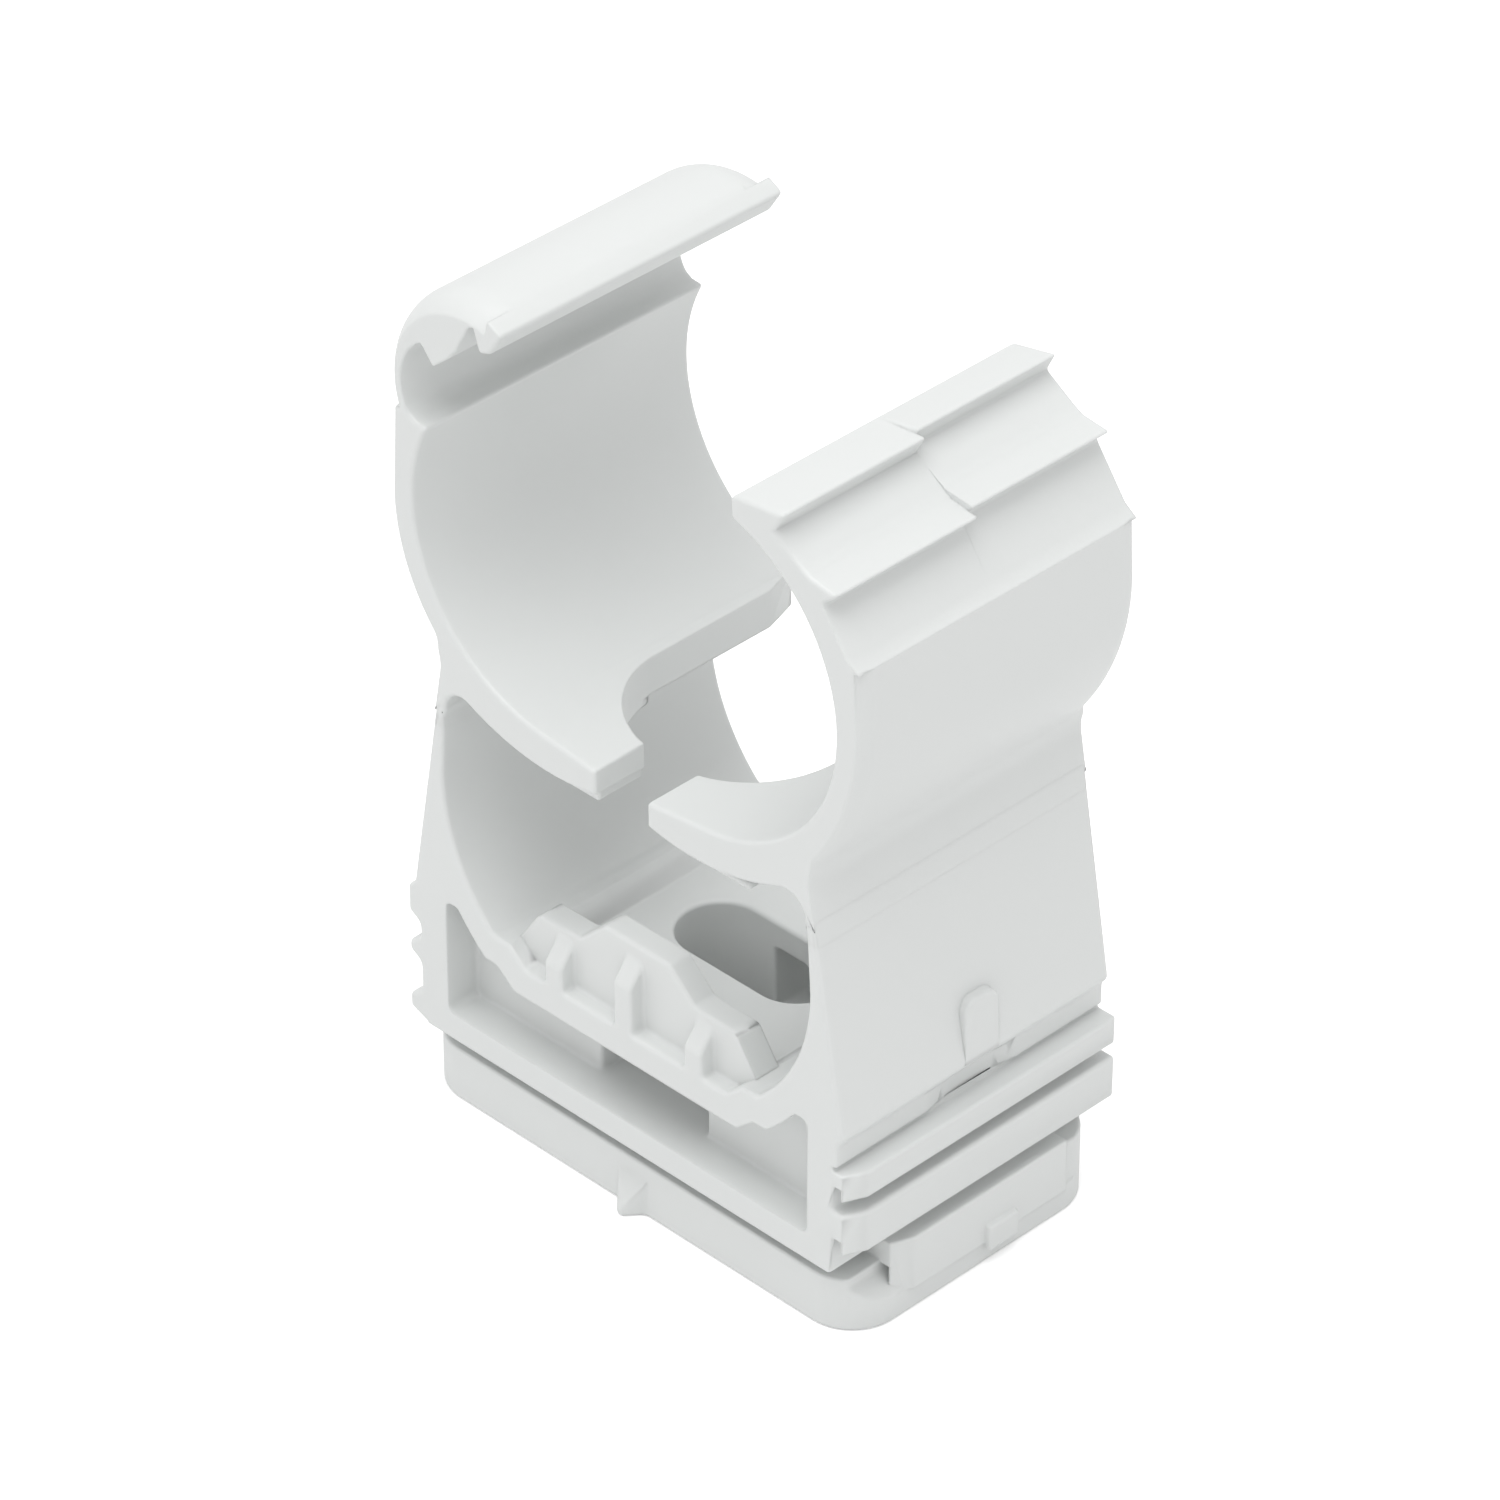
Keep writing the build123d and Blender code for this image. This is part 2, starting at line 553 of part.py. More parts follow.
def toothed_section(angle_in):
    """Section of the right jaw."""
    face = profile(neck_corner(), shell_arc(TOOTHED_SHELL, 0), from_bore(*TOOTHED_SHOULDER),
                   from_bore(*TOOTHED_NOTCH), *teeth(angle_in), *[polar(*place) for place in TEETH_END],
                   bore_arc(TEETH_BORE_END), *tongue_line(), seat())
    return with_round_neck(face, TOOTHED_SHELL)


def hook_section():
    """Section of the left jaw, drawn on the right side."""
    outer = HOOK_ANGLE + LATCH_PITCH
    back = HOOK_ANGLE + HOOK_TOOTH_ANGLE
    outer_tooth = (polar(TOOTH_TIP, LIP_ANGLE), polar(HOOK_TIP, outer + HOOK_OUTER_ANGLE),
                   polar(HOOK_TIP, outer), polar(HOOK_ROOT, outer + HOOK_UNDERCUT_ANGLE),
                   polar(HOOK_ROOT, outer - HOOK_GAP_ANGLE))
    inner_tooth = (polar(HOOK_TIP + HOOK_BACK_RISE, back + HOOK_BACK_ANGLE), polar(HOOK_TIP, back),
                   polar(HOOK_TIP, HOOK_ANGLE), polar(HOOK_ROOT, HOOK_ANGLE + HOOK_UNDERCUT_ANGLE))
    walls = [polar(BORE_RADIUS + wall, angle) for wall, angle in zip(POCKET_WALLS, POCKET_ANGLES)]
    pocket = ThreePointArc(polar(HOOK_ROOT, POCKET_START_ANGLE), *walls[:2])
    face = profile(neck_corner(), shell_arc(HOOK_SHELL, 0), from_bore(*CAP_FOOT),
                   arc(polar(*CAP_CENTRE), CAP_RADIUS, CAP_START, CAP_END), *outer_tooth, *inner_tooth,
                   pocket, walls[2], bore_arc(POCKET_BORE_END), *tongue_line(), seat())
    return with_round_neck(face, HOOK_SHELL)


def cutback():
    """What is taken off the tongues behind their fingers, for the screwdriver."""
    centre = (CUTBACK_OUT - CUTBACK_RADIUS, CUTBACK_CENTRE)
    start = degrees(asin((TONGUE_TIP - centre[0]) / CUTBACK_RADIUS)) - 90
    plan = profile((-CUTBACK_OUT, centre[1] - CUTBACK_RADIUS), arc(centre, CUTBACK_RADIUS, start, 0),
                   (CUTBACK_OUT, BACK - CUTBACK_FLARE_LENGTH), (CUTBACK_OUT + CUTBACK_FLARE, BACK),
                   (-CUTBACK_OUT, BACK))
    return Pos(0, 0, TONGUE_BOTTOM - TONGUE_THICK) * extrude(plan, amount=2 * TONGUE_THICK + BORE_RADIUS / 2)


def stop_pad(inner):
    """Pad under a finger."""
    bottom = TONGUE_BOTTOM - STOP_DROP
    return block((inner, inner + STOP_WIDTH), (FRONT + STOP_SETBACK, CUTBACK_CENTRE),
                 (bottom, bottom + STOP_HEIGHT))


def make_toothed_jaw():
    """Right jaw, with two rows of latch teeth in staggered halves."""
    halves = slab(toothed_section(0), FRONT, 0) + slab(toothed_section(TOOTH_STAGGER), 0, BACK)
    return halves - soft_shell(TOOTHED_SHELL, TOOTHED_SHOULDER) + stop_pad(TOOTHED_STOP_IN) - cutback()


def make_hook_jaw():
    """Left jaw, whose hook latches over the teeth."""
    soft = soft_shell(HOOK_SHELL, CAP_FOOT)
    soft += soft_ring(polar(*CAP_CENTRE), CAP_RADIUS, CAP_SOFT_START, CAP_END, CAP_ROUND, CAP_DROP)
    return mirror(slab(hook_section()) - soft + stop_pad(HOOK_STOP_IN) - cutback(), Plane.YZ)


def main():
    """Writes one file for each node."""
    os.makedirs("parts", exist_ok=True)
    nodes = {"base": make_base(), "hook_jaw": make_hook_jaw(), "toothed_jaw": make_toothed_jaw()}
    for name, part in nodes.items():
        print(name, "solids", len(part.solids()), "volume", round(part.volume, 2), part.bounding_box())
        export_step(part, f"parts/{name}.step")


main()
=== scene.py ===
"""A screw-down pipe clip of moulded light grey polyamide, open, on a plain white floor.

Each rigid stretch of the moulding stays in its place and gets here the fine rounding that a mould leaves and
the plastic's own finish. A few corners are eased where the moulding runs on softly. Over the two hinges lies
the thin film that joins leg and jaw on the real clip, where there is no gap.
"""

import json
import logging
import math
from dataclasses import dataclass
from enum import Enum

import bmesh
import bpy
import numpy as np
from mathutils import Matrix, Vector
from mathutils.bvhtree import BVHTree
from mathutils.geometry import intersect_point_line

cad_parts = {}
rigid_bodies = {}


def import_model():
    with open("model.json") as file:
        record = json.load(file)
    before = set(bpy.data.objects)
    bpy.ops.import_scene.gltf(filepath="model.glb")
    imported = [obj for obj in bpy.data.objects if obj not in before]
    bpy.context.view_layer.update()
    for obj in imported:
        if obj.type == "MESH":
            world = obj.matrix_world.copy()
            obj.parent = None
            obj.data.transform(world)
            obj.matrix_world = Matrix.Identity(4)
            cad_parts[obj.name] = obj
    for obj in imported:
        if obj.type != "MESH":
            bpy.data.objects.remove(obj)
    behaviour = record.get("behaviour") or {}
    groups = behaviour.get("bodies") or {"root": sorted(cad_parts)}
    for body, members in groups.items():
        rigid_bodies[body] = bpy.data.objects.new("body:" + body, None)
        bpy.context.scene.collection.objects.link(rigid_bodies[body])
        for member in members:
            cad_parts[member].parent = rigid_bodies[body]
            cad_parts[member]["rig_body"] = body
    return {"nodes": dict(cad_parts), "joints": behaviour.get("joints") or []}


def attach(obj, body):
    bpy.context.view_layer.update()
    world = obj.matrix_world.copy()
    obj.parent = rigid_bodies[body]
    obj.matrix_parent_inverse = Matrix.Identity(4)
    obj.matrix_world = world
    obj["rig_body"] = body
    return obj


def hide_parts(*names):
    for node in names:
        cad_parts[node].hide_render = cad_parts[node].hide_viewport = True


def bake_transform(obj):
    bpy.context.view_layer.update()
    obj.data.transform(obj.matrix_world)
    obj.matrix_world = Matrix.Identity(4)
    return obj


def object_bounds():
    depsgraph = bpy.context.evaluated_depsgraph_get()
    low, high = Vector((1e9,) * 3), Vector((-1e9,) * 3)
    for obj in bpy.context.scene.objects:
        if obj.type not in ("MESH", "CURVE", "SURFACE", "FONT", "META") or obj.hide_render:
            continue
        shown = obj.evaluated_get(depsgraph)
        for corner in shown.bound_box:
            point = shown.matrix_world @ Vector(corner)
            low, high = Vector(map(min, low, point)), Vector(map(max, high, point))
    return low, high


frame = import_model()
CAD_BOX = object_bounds()

log = logging.getLogger("pipe_clip")

MM = 0.001
FLAT_PULL = 80    # of 100: how strongly the large faces keep the shading flat beside small rounded ones


def linear(hex_colour: str) -> tuple[float, float, float, float]:
    """Turns an sRGB hex colour into linear values.

    Args:
        hex_colour: Six hex digits, such as "d9dbda".

    Returns:
        Red, green, blue and an alpha of one, linear.
    """
    channels = [int(hex_colour[i:i + 2], 16) / 255 for i in (0, 2, 4)]
    bent = [c / 12.92 if c <= 0.04045 else ((c + 0.055) / 1.055) ** 2.4 for c in channels]
    return (*bent, 1.0)


def add_node(
    tree: bpy.types.NodeTree,
    kind: str,
    settings: dict[str, object] | None = None,
    links: dict[str | int, bpy.types.NodeSocket] | None = None,
) -> bpy.types.Node:
    """Adds a node with its settings and what feeds its inputs.

    Args:
        tree: The node tree that gets the node.
        kind: The node's type, such as "ShaderNodeTexNoise".
        settings: Values by name: an input where the node has one of that name, or else a property.
        links: Output sockets by the name or number of the input that each one feeds.

    Returns:
        The new node.
    """
    node = tree.nodes.new(kind)
    for name, value in (settings or {}).items():
        if name in node.inputs:
            node.inputs[name].default_value = value
        else:
            setattr(node, name, value)
    for name, socket in (links or {}).items():
        tree.links.new(socket, node.inputs[name])
    return node


def new_material(name: str) -> bpy.types.Material:
    """Makes a material with an empty node tree.

    Args:
        name: The material's name.

    Returns:
        The new material.
    """
    made = bpy.data.materials.new(name)
    made.use_nodes = True
    made.node_tree.nodes.clear()
    return made


@dataclass(frozen=True)
class MouldedPolyamide:
    """Natural polyamide 6, injection moulded in a spark-eroded mould.

    It gives the eye a pale, slightly cool grey with a soft satin shine. Light goes a little way into it, so
    thin walls and edges look milky rather than hard. The mould's eroded face leaves a very fine grain.
    """

    colour: str = "d9dbda"
    roughness: float = 0.42
    roughness_sway: float = 0.05
    ior: float = 1.53
    scatter_depth_mm: float = 0.35
    scatter_share: float = 0.25
    grain_mm: float = 0.22     # an eroded face has a grain of about 0.05 mm: drawn coarser, so that it shows
    grain_height_mm: float = 0.004
    grain_detail: float = 2.0
    grain_roughness: float = 0.6
    flow_mm: float = 7.0       # slow waves where the melt cooled at different speeds
    flow_detail: float = 3.0
    flow_range: tuple[float, float] = (0.3, 0.7)    # what the waves' values fill
    soft_edge_mm: float = 0.2  # corners too small to be rounded in the shape look soft to this width
    soft_edge_rays: int = 6

    def material(self) -> bpy.types.Material:
        """Builds the plastic's material.

        Returns:
            The material, with its grain as bump and its cloudiness as slight changes of roughness.
        """
        made = new_material("moulded_polyamide")
        tree = made.node_tree
        place = add_node(tree, "ShaderNodeTexCoord").outputs["Object"]
        grain = add_node(
            tree, "ShaderNodeTexNoise",
            {
                "Scale": 1 / (self.grain_mm * MM),
                "Detail": self.grain_detail,
                "Roughness": self.grain_roughness,
            },
            {"Vector": place},
        )
        flow = add_node(
            tree, "ShaderNodeTexNoise",
            {"Scale": 1 / (self.flow_mm * MM), "Detail": self.flow_detail},
            {"Vector": place},
        )
        shine = add_node(
            tree, "ShaderNodeMapRange",
            {
                "From Min": self.flow_range[0],
                "From Max": self.flow_range[1],
                "To Min": self.roughness - self.roughness_sway,
                "To Max": self.roughness + self.roughness_sway,
            },
            {"Value": flow.outputs["Fac"]},
        )
        soft = add_node(
            tree, "ShaderNodeBevel", {"samples": self.soft_edge_rays, "Radius": self.soft_edge_mm * MM},
        )
        bump = add_node(
            tree, "ShaderNodeBump", {"Distance": self.grain_height_mm * MM, "Strength": 1.0},
            {"Height": grain.outputs["Fac"], "Normal": soft.outputs["Normal"]},
        )
        shader = add_node(
            tree, "ShaderNodeBsdfPrincipled",
            {
                "Base Color": linear(self.colour),
                "IOR": self.ior,
                "Subsurface Weight": self.scatter_share,
                "Subsurface Scale": self.scatter_depth_mm * MM,
                "Subsurface Radius": (1.0, 1.0, 1.0),
            },
            {"Roughness": shine.outputs["Result"], "Normal": bump.outputs["Normal"]},
        )
        add_node(tree, "ShaderNodeOutputMaterial", links={"Surface": shader.outputs["BSDF"]})
        return made


@dataclass(frozen=True)
class WhitePaper:
    """Matt white background paper. The eye sees it a little brighter than it lights, as an even white."""

    colour: str = "f4f4f4"
    roughness: float = 0.9
    lift: float = 0.3    # strength of the white that only the camera sees

    def material(self) -> bpy.types.Material:
        """Builds the paper's material.

        Returns:
            The material, whose own light only the camera sees.
        """
        made = new_material("white_paper")
        tree = made.node_tree
        seen = add_node(tree, "ShaderNodeLightPath").outputs["Is Camera Ray"]
        glow = add_node(tree, "ShaderNodeMath", {"operation": "MULTIPLY"}, {0: seen})
        glow.inputs[1].default_value = self.lift
        shader = add_node(
            tree, "ShaderNodeBsdfPrincipled",
            {
                "Base Color": linear(self.colour),
                "Roughness": self.roughness,
                "Emission Color": linear("ffffff"),
            },
            {"Emission Strength": glow.outputs["Value"]},
        )
        add_node(tree, "ShaderNodeOutputMaterial", links={"Surface": shader.outputs["BSDF"]})
        return made


def dressed_object(
    name: str, shape: bmesh.types.BMesh, material: bpy.types.Material
) -> bpy.types.Object:
    """Makes an object of a finished shape, smooth and evenly shaded, but for its sharp edges.

    Args:
        name: The object's name.
        shape: Its shape, which is freed.
        material: Its finish.

    Returns:
        The object, linked into the scene.
    """
    for face in shape.faces:
        face.smooth = True
    mesh = bpy.data.meshes.new(name)
    shape.to_mesh(mesh)
    shape.free()
    mesh.materials.append(material)
    made = bpy.data.objects.new(name, mesh)
    bpy.context.scene.collection.objects.link(made)
    even = made.modifiers.new("even_shading", "WEIGHTED_NORMAL")
    even.weight = FLAT_PULL
    even.keep_sharp = True
    return made


@dataclass(frozen=True)
class EasedCorner:
    """Corners of a solid that the dressed clip has further in, where the moulding runs on softly.

    Places are in millimetres from the frame's origin.
    """

    out: float           # to the right of the origin
    up: float
    eased_out: float     # where the corners go
    near: float = 0.01   # a corner this near to the place is one of them

    def apply(self, shape: bmesh.types.BMesh) -> None:
        """Moves the corners.

        Args:
            shape: The mesh that has them.
        """
        for vertex in shape.verts:
            if math.hypot(vertex.co.x / MM - self.out, vertex.co.z / MM - self.up) < self.near:
                vertex.co.x = self.eased_out * MM


@dataclass(frozen=True)
class SoftNeck:
    """The soft ends of a jaw's outer wall, which run out over its neck. The solid has a small ledge there.

    Lengths and places are in millimetres.
    """

    ledge: float                # the ledge's lower edge, upwards
    rise_deg: float             # how far from level the ledge sets the wall in
    run_out: float = 1.0        # the soft ends fade over this height below the ledge
    straight: float = 8.87      # half of the wall between the soft ends
    depth: float = 10.0         # half of the jaw along the pipe
    radius: float = 2.0
    steps: int = 5              # rows of points round each soft end, as the solid has
    wall: float = 13.45         # the outer wall lies further out than this
    ledge_rise: float = 0.24    # the ledge's own faces end below this height over its lower edge
    foot_room: float = 0.1      # the neck's faces may reach this far below the run-out
    weld: float = 0.004         # points nearer to each other than this become one

    def apply(self, shape: bmesh.types.BMesh) -> None:
        """Sets the neck's ends in until the ledge is gone.

        Args:
            shape: The jaw's mesh.
        """
        turn = math.asin((self.depth - self.straight) / self.radius) / self.steps
        rows = [self.straight + self.radius * math.sin(turn * step) for step in range(self.steps)]
        for row in (*rows, *(-row for row in rows)):
            faces = [face for face in shape.faces if all(self.is_neck(vertex.co) for vertex in face.verts)]
            edges = dict.fromkeys(edge for face in faces for edge in face.edges)
            verts = dict.fromkeys(vertex for face in faces for vertex in face.verts)
            bmesh.ops.bisect_plane(
                shape, geom=[*verts, *edges, *faces], dist=self.weld * MM,
                plane_co=(0, row * MM, 0), plane_no=(0, 1, 0),
            )
        for vertex in shape.verts:
            share = (vertex.co.z / MM - self.ledge) / self.run_out + 1
            soft = abs(vertex.co.y) / MM - self.straight
            if abs(vertex.co.x) > self.wall * MM and 0 < share < 1 + self.weld and soft > 0:
                share = min(share, 1.0)
                inset = self.radius - math.sqrt(self.radius ** 2 - soft ** 2)
                inset *= share ** 2 * (3 - 2 * share)    # fades in and out without a kink
                rise = math.radians(self.rise_deg) * share
                vertex.co.x -= math.copysign(inset * math.cos(rise), vertex.co.x) * MM
                vertex.co.z += inset * math.sin(rise) * MM
        bmesh.ops.remove_doubles(shape, verts=shape.verts, dist=self.weld * MM)

    def is_neck(self, place: Vector) -> bool:
        """Whether a place lies on the neck just below the ledge or on the ledge itself.

        Args:
            place: A point of the jaw, in metres.

        Returns:
            True where it does.
        """
        height = place.z / MM - self.ledge
        is_outer = abs(place.x) > (self.wall - self.weld) * MM
        return is_outer and -self.run_out - self.foot_room < height < self.ledge_rise


PAD_FOOT = EasedCorner(out=16.0, up=12.9, eased_out=15.55)    # it ends on the shoulder's slope
TOOTHED_NECK = SoftNeck(ledge=30.006, rise_deg=36.1)
HOOK_NECK = SoftNeck(ledge=30.479, rise_deg=40.6)


@dataclass
class MouldedBody:
    """One rigid stretch of the moulding, as its solid but with the fine rounding of moulded edges.

    Sharp edges that run on into each other form a line, and a line has one width of rounding. Where that
    makes the surface fold over itself the line is rounded less, or stays sharp.
    """

    node: str
    eased: tuple[EasedCorner, ...] = ()
    necks: tuple[SoftNeck, ...] = ()
    edge_mm: float = 0.24       # how far a full rounding reaches on each side of its edge
    segments: int = 3
    sharp_deg: float = 30.0     # an edge whose faces turn by more is sharp
    bend_deg: float = 35.0      # a line ends where it bends more than this
    sliver_deg: float = 20.0    # edges that meet at less run out as slivers, and the shorter one stays sharp
    stray_mm: float = 0.12      # no rounded edge leaves the solid's own faces further than this
    film_mm: float = 0.6        # around a hinge's axis, all is inside the film
    reach_mm: float = 0.3       # a fold is laid to the lines this near
    least_reach: float = 0.5    # the reach shrinks with a line's rounding, down to this share
    step_down: float = 0.6      # a line with a fold keeps this share of its rounding
    least_share: float = 0.2    # and with less than this share of the full one it stays sharp
    tries: int = 16
    quad: int = 4               # only a face of more sides has an outline that may cross itself
    tiny_mm2: float = 0.0002    # a face too small to see
    small_mm2: float = 1.0      # the middle of a larger face can lie beside it
    weld_mm: float = 0.001      # points nearer to each other than this become one
    flat_deg: float = 0.2       # faces that turn by less become one

    def build(self, material: bpy.types.Material) -> None:
        """Puts the rounded stretch in its solid's place.

        Args:
            material: The plastic.
        """
        shape = self.joined_faces()
        piece = dressed_object(f"{self.node}_moulding", self.rounded(shape), material)
        shape.free()
        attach(piece, frame["nodes"][self.node]["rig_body"])
        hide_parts(self.node)
        log.info("put the %s in its place", self.node)

    def joined_faces(self) -> bmesh.types.BMesh:
        """Copies the solid's mesh, with its faces joined along their edges and its flat faces made whole.

        Returns:
            The copy, a closed mesh.
        """
        shape = bmesh.new()
        shape.from_mesh(frame["nodes"][self.node].data)
        bmesh.ops.remove_doubles(shape, verts=shape.verts, dist=self.weld_mm * MM)
        for form in self.eased:
            form.apply(shape)
        bmesh.ops.dissolve_limit(
            shape, angle_limit=math.radians(self.flat_deg),
            verts=shape.verts, edges=shape.edges, delimit=set(),
        )
        for form in self.necks:
            form.apply(shape)
        return shape

    def rounded(self, shape: bmesh.types.BMesh) -> bmesh.types.BMesh:
        """Rounds the sharp edges, each line of them as far as it goes without a fold.

        Args:
            shape: The closed mesh.

        Returns:
            A rounded copy, with the folds that were left after the last try.
        """
        solid = BVHTree.FromBMesh(shape)
        weight = shape.edges.layers.float.new("bevel_weight_edge")
        lines = self.edge_lines(shape)
        shares = [1.0] * len(lines)
        for _ in range(self.tries):
            for line, share in zip(lines, shares):
                for edge in line:
                    edge[weight] = share
                    edge.smooth = share > 0
            made = self.round_edges(shape)
            folds = self.find_folds(solid, made)
            left_sharp = shares.count(0.0)
            if not folds:
                break
            shares = [self.next_share(line, share, folds) for line, share in zip(lines, shares)]
        log.info(
            "rounded the %s: %d lines of edges, %d of them left sharp, %d folds",
            self.node, len(lines), left_sharp, len(folds),
        )
        return made

    def next_share(self, line: list[bmesh.types.BMEdge], share: float, folds: list[Vector]) -> float:
        """How much of the full rounding a line gets on the next try.

        Args:
            line: Its edges.
            share: What it has now.
            folds: Where the rounding went wrong.

        Returns:
            The same share where no fold is near the line, or a smaller one, down to none.
        """
        reach = self.reach_mm * MM * max(self.least_reach, share)
        if not share or not self.is_near(line, folds, reach):
            return share
        smaller = share * self.step_down
        return smaller if smaller > self.least_share else 0.0

    def edge_lines(self, shape: bmesh.types.BMesh) -> list[list[bmesh.types.BMEdge]]:
        """Gathers the sharp edges, without the slivers' shorter ones, in lines that run on.

        Args:
            shape: The closed mesh.

        Returns:
            The lines, each a list of edges.
        """
        limit = math.radians(self.sharp_deg)
        sharp = {edge for edge in shape.edges if edge.calc_face_angle(0) > limit}
        narrow = math.radians(self.sliver_deg)
        slivers = set()
        for loop in (loop for face in shape.faces for loop in face.loops):
            pair = (loop.edge, loop.link_loop_prev.edge)
            if sharp.issuperset(pair) and loop.is_convex and loop.calc_angle() < narrow:
                slivers.add(min(pair, key=bmesh.types.BMEdge.calc_length))
        for edge in slivers:
            edge.smooth = False
        sharp -= slivers
        line_of = {edge: [edge] for edge in sharp}
        for vertex in shape.verts:
            pair = [edge for edge in vertex.link_edges if edge in sharp]
            if len(pair) != 2 or line_of[pair[0]] is line_of[pair[1]]:
                continue
            ways = [edge.other_vert(vertex).co - vertex.co for edge in pair]
            if math.pi - ways[0].angle(ways[1]) < math.radians(self.bend_deg):
                joined = line_of[pair[0]] + line_of[pair[1]]
                line_of.update(dict.fromkeys(joined, joined))
        return list({id(line): line for line in line_of.values()}.values())

    def round_edges(self, shape: bmesh.types.BMesh) -> bmesh.types.BMesh:
        """Rounds each edge as far as its weight says.

        Args:
            shape: The closed mesh.

        Returns:
            A rounded copy.
        """
        mesh = bpy.data.meshes.new("edges")
        shape.to_mesh(mesh)
        blank = bpy.data.objects.new("edges", mesh)
        bpy.context.scene.collection.objects.link(blank)
        bevel = blank.modifiers.new("moulded_edges", "BEVEL")
        bevel.width = self.edge_mm * MM
        bevel.segments = self.segments
        bevel.limit_method = "WEIGHT"
        bevel.use_clamp_overlap = False
        bevel.miter_outer = "MITER_ARC"
        graph = bpy.context.evaluated_depsgraph_get()
        done = bpy.data.meshes.new_from_object(blank.evaluated_get(graph))
        made = bmesh.new()
        made.from_mesh(done)
        bpy.data.objects.remove(blank)
        bpy.data.meshes.remove(mesh)
        bpy.data.meshes.remove(done)
        return made

    def find_folds(self, solid: BVHTree, made: bmesh.types.BMesh) -> list[Vector]:
        """Looks for places where the rounding went wrong, and brings strays back to the solid.

        Args:
            solid: The solid's own faces.
            made: The rounded mesh.

        Returns:
            Where points strayed, outlines cross themselves and small faces look inwards, apart from what a
            film covers.
        """
        folds = []
        for vertex in made.verts:
            place, _, _, distance = solid.find_nearest(vertex.co)
            allowed = self.weld_mm if self.is_covered(vertex.co) else self.stray_mm
            if distance > allowed * MM:
                folds.append(vertex.co.copy())
                vertex.co = place
        for face in made.faces:
            face.normal_update()
            if len(face.verts) > self.quad:
                folds += self.crossings(face)
            if self.tiny_mm2 < face.calc_area() / MM ** 2 < self.small_mm2:
                middle = face.calc_center_median()
                if solid.find_nearest(middle)[1].dot(face.normal) < 0:
                    folds.append(middle)
        return [place for place in folds if not self.is_covered(place)]

    def is_covered(self, place: Vector) -> bool:
        """Whether a place lies inside the film of a hinge, where nothing of the stretch is seen.

        Args:
            place: A point, in metres.

        Returns:
            True where it does.
        """
        return any(
            math.hypot(place.x - joint["pos_m"][0], place.z - joint["pos_m"][2]) < self.film_mm * MM
            for joint in frame["joints"]
        )

    @staticmethod
    def crossings(face: bmesh.types.BMFace) -> list[Vector]:
        """Finds where a face's outline crosses itself.

        Args:
            face: A flat face of many sides.

        Returns:
            The middles of the sides that cross.
        """
        deepest = max(range(3), key=lambda axis: abs(face.normal[axis]))
        here = np.delete(np.array([vertex.co for vertex in face.verts]), deepest, axis=1)
        after = np.roll(here, -1, axis=0)
        way = (after - here)[:, None]
        to_start, to_end = here[None] - here[:, None], after[None] - here[:, None]
        start_side = way[..., 0] * to_start[..., 1] - way[..., 1] * to_start[..., 0]
        end_side = way[..., 0] * to_end[..., 1] - way[..., 1] * to_end[..., 0]
        parted = start_side * end_side < 0
        crossed = np.nonzero((parted & parted.T).any(axis=1))[0]
        verts = list(face.verts)
        return [(verts[i].co + verts[(i + 1) % len(verts)].co) / 2 for i in crossed]

    @staticmethod
    def is_near(line: list[bmesh.types.BMEdge], places: list[Vector], reach: float) -> bool:
        """Whether any of the places lies near the line.

        Args:
            line: Edges.
            places: Points.
            reach: The distance that counts as near, in metres.

        Returns:
            True where one is within reach.
        """
        for edge in line:
            start, end = (vertex.co for vertex in edge.verts)
            for place in places:
                _, share = intersect_point_line(place, start, end)
                if (start.lerp(end, min(1.0, max(0.0, share))) - place).length < reach:
                    return True
        return False


class Jaw(Enum):
    """The two jaws, each by the joint that it turns on."""

    HOOK = "hook_hinge"
    TOOTHED = "toothed_hinge"


